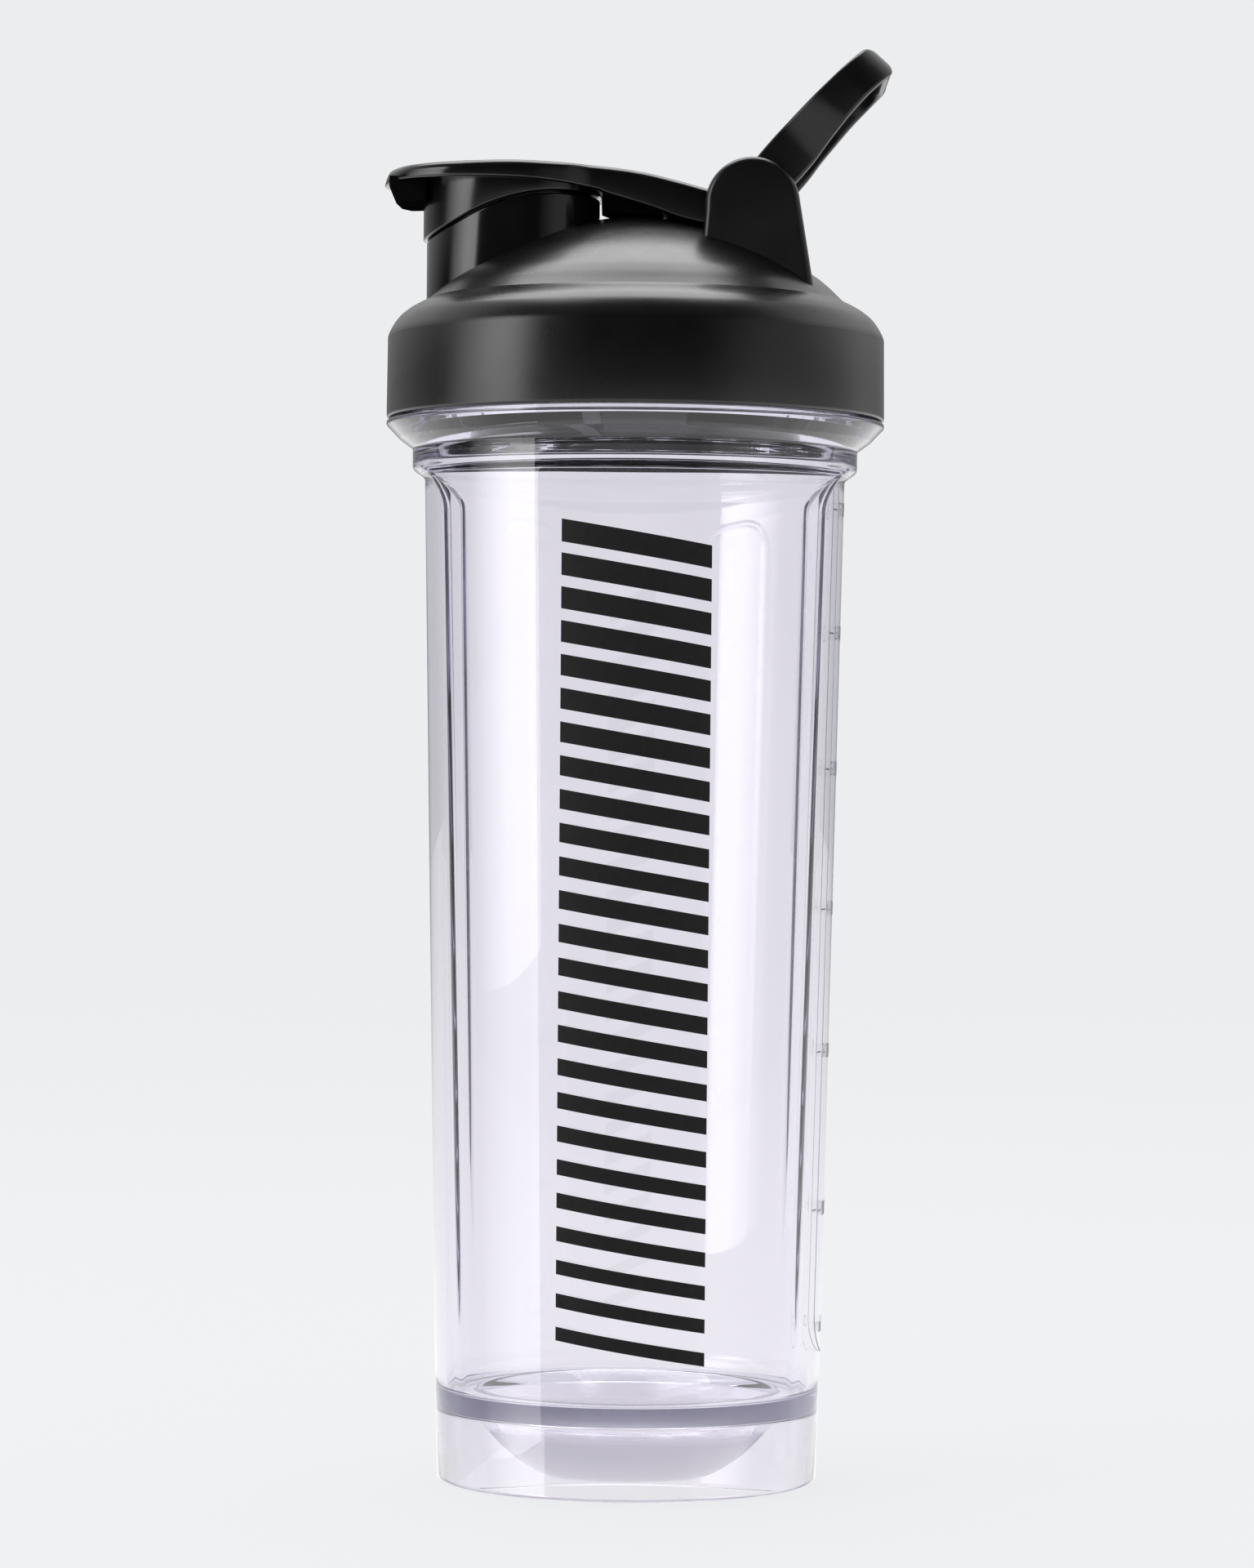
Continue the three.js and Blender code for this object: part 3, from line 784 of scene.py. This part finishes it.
def cap_ring(point, normal):
    """One cross-section of the cap's plate, from its near underside round over the top."""
    top_side = [(CAP_LEDGE + inset, drop) for inset, drop in quarter_round(CAP_TOP_FILLET, 7)]
    low_side = quarter_round(CAP_LOW_FILLET, 7)

    def side(sign):
        """Up one edge, from the underside past the parting line to the top."""
        line = []
        for inset, drop in low_side[::-1]:
            x, y = point - normal * inset
            line.append((x, sign * max(y, 0), cap_under(x) + drop))
        line.append((point[0], sign * point[1], cap_top(point[0]) - CAP_TOP_FILLET - 0.06))
        for inset, drop in top_side:
            x, y = point - normal * inset
            line.append((x, sign * max(y, 0), cap_top(x) - drop))
        return line

    def across(start, end, crown):
        """From one edge to the other, raised in the middle."""
        line = []
        for t in np.linspace(0, 1, 13)[1:-1]:
            x, y, z = np.array(start) * (1 - t) + np.array(end) * t
            line.append((x, y, z + crown * 4 * t * (1 - t) * min(1, abs(start[1]) / 9)))
        return line

    near = side(-1)
    far = side(1)[::-1]
    return near + across(near[-1], far[0], CAP_CROWN) + far + across(far[-1], near[0], 0)


def cap_skirt():
    """The ring round the spout's lip, cut off along the seam."""
    angle = np.arange(0, 360, 2.0) * math.pi / 180
    edge = 0.35
    rows = [(POCKET_R - 0.4, SKIRT_TOP_Z, True), (SKIRT_R, SKIRT_TOP_Z, True)]
    rows += [(SKIRT_R - inset, drop, False) for inset, drop in quarter_round(edge, 5)]
    rows += [(POCKET_R + 0.2 - 0.6 * (1 - math.cos(t)), edge * (1 - math.cos(t)), False)
             for t in np.linspace(0, math.pi / 2, 4)]
    points = np.empty((len(rows), len(angle), 3))
    for k, (r, z, fixed) in enumerate(rows):
        x = SPOUT_X + r * np.cos(angle)
        seam = seam_z(SPOUT_X + SKIRT_R * np.cos(angle))
        points[k, :, 0] = x
        points[k, :, 1] = r * np.sin(angle)
        points[k, :, 2] = z if fixed else seam + z
    return grid_piece("skirt", points, close_rows=True)


def flip_cap(material, dull):
    """Plate, skirt, tab, web, hinge barrel and pins in one."""
    curve, normal = cap_edge()
    rings = np.array([cap_ring(p, n) for p, n in zip(curve, normal)])
    piece = paint(grid_piece("flip_lid", rings, end_caps=True), material)
    joined(piece, paint(cap_skirt(), material))
    pocket = [(0, 230), (POCKET_R, 230), (POCKET_R, POCKET_Z), (0, POCKET_Z)]
    joined(piece, paint(turned("pocket", pocket, 180, SPOUT_X), material), "DIFFERENCE")
    tab = [(-48.2, 253.5), (-48.2, 251.4), (-47.6, 250), (-46.4, 248.9), (-44.5, 248.5),
           (-41, 248.6), (-40.8, 253.5)]
    joined(piece, paint(side_slab("tab", tab, -TAB_HALF, TAB_HALF, 0.6), dull))
    web_low = spline([(-6.9, 247.75), (-3.9, 246.8), (1, 246.6), (6, 246.4), (12.5, 245.2),
                      (18, 243.6)], 3)
    web = [(-6.9, 252), *web_low, (HINGE_X, 243.9), (HINGE_X, 249), (6, 252)]
    joined(piece, paint(side_slab("web", web, -WEB_HALF, WEB_HALF, 0.4), dull))
    joined(piece, paint(hinge_rod("barrel", BARREL_R, BARREL_HALF), material))
    joined(piece, paint(hinge_rod("pins", PIN_R, PIN_END_Y), material))
    clean(piece, 30)
    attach(piece, "cap")
    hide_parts("flip_cap")


def stopper(material):
    """The soft plug in the cap's pocket, which closes the spout's bore."""
    high = POCKET_Z - 0.3
    low, radius = 248.8, 12.5
    plug = rounded([(0, low), (radius - 1.3, low), (radius, 250.2), (radius, high), (0, high)],
                   0.5)
    piece = paint(turned("spout_plug", plug, 120, SPOUT_X), material)
    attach(piece, "cap")
    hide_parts("spout_stopper")


# ---- Carry loop ----

LOOP_FILLET = 0.7
LOOP_FLARE_FROM = 14
LOOP_FLARE_LENGTH = 11

# the strap's lower and upper edge, at any distance from the hinge
loop_low = reader([(-1, -3), (0, -3), (8, -3.2), (14, -3.1), (20, -2.5), (29, -2.1), (37.4, -2.6),
                   (39, -2.7)])
loop_high = reader([(-1, 4.4), (0, 4.6), (6, 5.6), (12, 5.9), (18, 5.8), (28, 5.3), (37.4, 4.6),
                    (39, 4.45)])


def loop_heights(u):
    """The strap's two edges at this distance from the hinge, rounded off at its tip."""
    over = np.clip((u - (LOOP_LENGTH - LOOP_END_ROUND)) / LOOP_END_ROUND, 0, 1)
    trim = LOOP_END_ROUND * (1 - math.sqrt(1 - over * over))
    return loop_low(u) + trim, loop_high(u) - trim


def loop_path():
    """The strap's outer face in plan, from the far eye round the tip to the near eye."""
    start = [(u, LOOP_HALF_IN) for u in np.linspace(0, LOOP_FLARE_FROM, 10)]
    flare = [(LOOP_FLARE_FROM + LOOP_FLARE_LENGTH * t,
              LOOP_HALF_IN + (LOOP_HALF_OUT - LOOP_HALF_IN) * float(smooth(t)))
             for t in np.linspace(0.05, 1, 20)]
    centre = (LOOP_LENGTH - LOOP_CORNER_R, LOOP_HALF_OUT - LOOP_CORNER_R)
    corner = [(centre[0] + LOOP_CORNER_R * math.cos(t), centre[1] + LOOP_CORNER_R * math.sin(t))
              for t in np.linspace(math.pi / 2, 0, 28)]
    end = [(LOOP_LENGTH, w) for w in np.linspace(centre[1], 0, 8)[1:]]
    half = start + flare + [(27.3, LOOP_HALF_OUT)] + corner + end
    return np.array(half + [(u, -w) for u, w in half[-2::-1]])


def carry_loop(material):
    """The strap and its two eyes, bored for the hinge pins and tilted up from the lid."""
    path = loop_path()
    along = np.gradient(path, axis=0)
    inward = np.stack([along[:, 1], -along[:, 0]], axis=1)
    inward /= np.linalg.norm(inward, axis=1)[:, None]
    corner = quarter_round(LOOP_FILLET, 6)
    section = [(a, 0, drop) for a, drop in corner[::-1]] + [(a, 1, drop) for a, drop in corner]
    section += [(LOOP_THICKNESS - a, 1, drop) for a, drop in corner[::-1]]
    section += [(LOOP_THICKNESS - a, 0, drop) for a, drop in corner]
    points = np.empty((len(path), len(section), 3))
    for i, (outer, toward) in enumerate(zip(path, inward)):
        for k, (depth, upper, drop) in enumerate(section):
            u, w = outer + toward * depth
            low, high = loop_heights(u)
            points[i, k] = (u, w, high - drop if upper else low + drop)
    piece = paint(grid_piece("loop_strap", points, end_caps=True), material)
    middle = LOOP_HALF_IN - LOOP_THICKNESS / 2
    for side in (-1, 1):
        eye = rounded([(0, -LOOP_THICKNESS / 2), (LOOP_EYE_R, -LOOP_THICKNESS / 2),
                       (LOOP_EYE_R, LOOP_THICKNESS / 2), (0, LOOP_THICKNESS / 2)], 0.5)
        disc = paint(turned("eye", eye, 96), material)
        disc.data.transform(Matrix.Rotation(math.radians(90), 4, "X"))
        disc.data.transform(Matrix.Translation((0, side * middle * MM, 0)))
        joined(piece, disc)
    bore = [(0, -30), (PIN_HOLE_R, -30), (PIN_HOLE_R, 30), (0, 30)]
    hole = paint(turned("hole", bore, 64), material)
    hole.data.transform(Matrix.Rotation(math.radians(90), 4, "X"))
    joined(piece, hole, "DIFFERENCE")
    piece.data.transform(Matrix.Rotation(-LOOP_TILT, 4, "Y"))
    piece.data.transform(Matrix.Translation((HINGE_X * MM, 0, HINGE_Z * MM)))
    clean(piece, 30)
    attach(piece, "loop")
    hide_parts("carry_loop")


# ---- Stage, light and camera, in metres ----

FLOOR_GLOW = 0.94
PALE = (0.838, 0.847, 0.863)
SIDE_FLAGS = 0.8  # how bright the room's sides look through the clear wall
STUDIO_DARK = 0.004  # how bright polished surfaces see most of the room
STUDIO_BEHIND = 0.42
STUDIO_RIGHT = 0.6
STUDIO_CEILING = 0.9
FLOOR_GLARE = 1.6  # how bright polished surfaces see the floor
CAMERA_LENS = 115.43  # millimetres, on a sensor 36 millimetres high
CAMERA_ROLL = 0.5  # degrees
CAMERA_PLACE = (-0.001, -0.985, 0.1357)


def floor():
    """A wide floor, which polished sides don't mirror."""
    sides, radius, z = 96, 6000, -0.2
    turn = np.arange(sides) * 2 * math.pi / sides
    rim = [(radius * math.cos(t), radius * math.sin(t), z) for t in turn]
    piece = paint(new_piece("floor", rim, [list(range(sides))]), pale_floor())
    piece.visible_glossy = False


def surroundings():
    """A pale room with darker sides through the clear wall, mirrored as a dark studio."""
    world = bpy.data.worlds.new("studio")
    bpy.context.scene.world = world
    world.use_nodes = True
    tree = world.node_tree
    tree.nodes.clear()
    out = tree.nodes.new("ShaderNodeOutputWorld")
    pale = tree.nodes.new("ShaderNodeBackground")
    pale.inputs["Color"].default_value = (*PALE, 1)
    flagged = tree.nodes.new("ShaderNodeBackground")
    flagged.inputs["Color"].default_value = (*PALE, 1)
    dim = tree.nodes.new("ShaderNodeBackground")
    path = tree.nodes.new("ShaderNodeLightPath")
    through = tree.nodes.new("ShaderNodeMixShader")
    pick = tree.nodes.new("ShaderNodeMixShader")
    place = tree.nodes.new("ShaderNodeTexCoord")
    split = tree.nodes.new("ShaderNodeSeparateXYZ")
    tree.links.new(place.outputs["Generated"], split.inputs["Vector"])
    behind = ramp(tree, split.outputs["Y"], STUDIO_DARK, STUDIO_BEHIND, 0.2, 0.6)
    right = ramp(tree, split.outputs["X"], 0, STUDIO_RIGHT, 0.55, 0.85)
    below = ramp(tree, split.outputs["Z"], FLOOR_GLARE, 0, -0.17, -0.01)
    ceiling = combined(tree, "MULTIPLY",
                       ramp(tree, split.outputs["Z"], 0, STUDIO_CEILING, 0.1, 0.5),
                       ramp(tree, split.outputs["Y"], 0, 1, -0.05, 0.15))
    total = combined(tree, "ADD", combined(tree, "ADD", behind, right),
                     combined(tree, "ADD", below, ceiling))
    tree.links.new(total, dim.inputs["Strength"])
    sideways = tree.nodes.new("ShaderNodeMath")
    sideways.operation = "ABSOLUTE"
    tree.links.new(split.outputs["X"], sideways.inputs[0])
    sides = ramp(tree, sideways.outputs["Value"], 1, SIDE_FLAGS, 0.1, 0.4)
    tree.links.new(sides, flagged.inputs["Strength"])
    tree.links.new(path.outputs["Is Transmission Ray"], through.inputs["Fac"])
    tree.links.new(pale.outputs["Background"], through.inputs[1])
    tree.links.new(flagged.outputs["Background"], through.inputs[2])
    mirrored = combined(tree, "SUBTRACT", path.outputs["Is Glossy Ray"],
                        path.outputs["Is Transmission Ray"])
    tree.links.new(mirrored, pick.inputs["Fac"])
    tree.links.new(through.outputs["Shader"], pick.inputs[1])
    tree.links.new(dim.outputs["Background"], pick.inputs[2])
    tree.links.new(pick.outputs["Shader"], out.inputs["Surface"])


def softbox(name, place, aim, size, radiance, across=None, up=None):
    """A rectangular light that faces a point, even or fading over its width and height."""
    data = bpy.data.lights.new(name, "AREA")
    data.shape = "RECTANGLE"
    data.size, data.size_y = size
    data.energy = radiance * math.pi * size[0] * size[1]
    light = bpy.data.objects.new(name, data)
    light.location = place
    light.rotation_euler = (Vector(aim) - Vector(place)).to_track_quat("-Z", "Y").to_euler()
    light.visible_camera = False
    bpy.context.scene.collection.objects.link(light)
    if across:
        data.use_nodes = True
        tree = data.node_tree
        where = tree.nodes.new("ShaderNodeNewGeometry")
        split = tree.nodes.new("ShaderNodeSeparateXYZ")
        tree.links.new(where.outputs["Parametric"], split.inputs["Vector"])
        glow = combined(tree, "MULTIPLY", ramp(tree, split.outputs["X"], *across),
                        ramp(tree, split.outputs["Y"], *up))
        tree.links.new(glow, tree.nodes["Emission"].inputs["Strength"])


def lights():
    """A large light on the left, a small low one on the right and a wide one above."""
    def beside(azimuth, distance, height):
        """A place at this many degrees round from the camera's side."""
        turn = math.radians(azimuth)
        return distance * math.sin(turn), -distance * math.cos(turn), height

    softbox("key_left", beside(-73, 1.1, 0.38), (0, 0, 0.38), (0.86, 1.3), 4.6,
            (0.0, 1.0, 0.02, 0.65), (0.55, 1.0, 0.2, 0.5))
    softbox("strip_right", beside(58, 0.6, 0.05), (0, 0, 0.05), (0.4, 0.25), 0.26,
            (1.0, 0.15, 0.1, 1.0), (1.0, 1.0, 0.0, 1.0))
    softbox("overhead", (-0.07, 0.3, 1.18), (-0.02, 0, 0.23), (0.84, 0.72), 4.2)


def camera():
    """The camera, level but for a slight roll."""
    data = bpy.data.cameras.new("camera")
    data.sensor_fit = "VERTICAL"
    data.sensor_height = 36
    data.lens = CAMERA_LENS
    view = bpy.data.objects.new("camera", data)
    bpy.context.scene.collection.objects.link(view)
    upright = Matrix.Rotation(math.radians(90), 4, "X")
    roll = Matrix.Rotation(math.radians(CAMERA_ROLL), 4, "Z")
    view.matrix_world = Matrix.Translation(CAMERA_PLACE) @ (upright @ roll)
    bpy.context.scene.camera = view


def main():
    """Sets the stage and makes every piece."""
    scene = bpy.context.scene
    scene.view_settings.view_transform = "Standard"
    scene.cycles.max_bounces = 40
    scene.cycles.transmission_bounces = 40
    scene.cycles.glossy_bounces = 20
    camera()
    surroundings()
    lights()
    floor()

    matte = black_plastic("lid_matte", 0.28, 0.000008, specks=0.00001)
    gloss = black_plastic("spout_gloss", 0.14, 0.000001)
    satin = black_plastic("ear_satin", 0.3, 0.000004)
    bottle(clear_plastic())
    lid(matte, gloss, satin)
    gasket(silicone())
    flip_cap(black_plastic("cap_gloss", 0.18, 0.0000015),
             black_plastic("cap_dull", 0.4, 0.000004, shine=0.0))
    stopper(silicone())
    carry_loop(black_plastic("loop_satin", 0.3, 0.000003, shine=0.35))
    front_graphic(print_ink("black_ink", (0.004, 0.0035, 0.0036), (0.007, 0.006, 0.006), 0.5))
    volume_scale(print_ink("grey_ink", (0.3, 0.3, 0.32), (0.38, 0.38, 0.4), 0.5))


main()
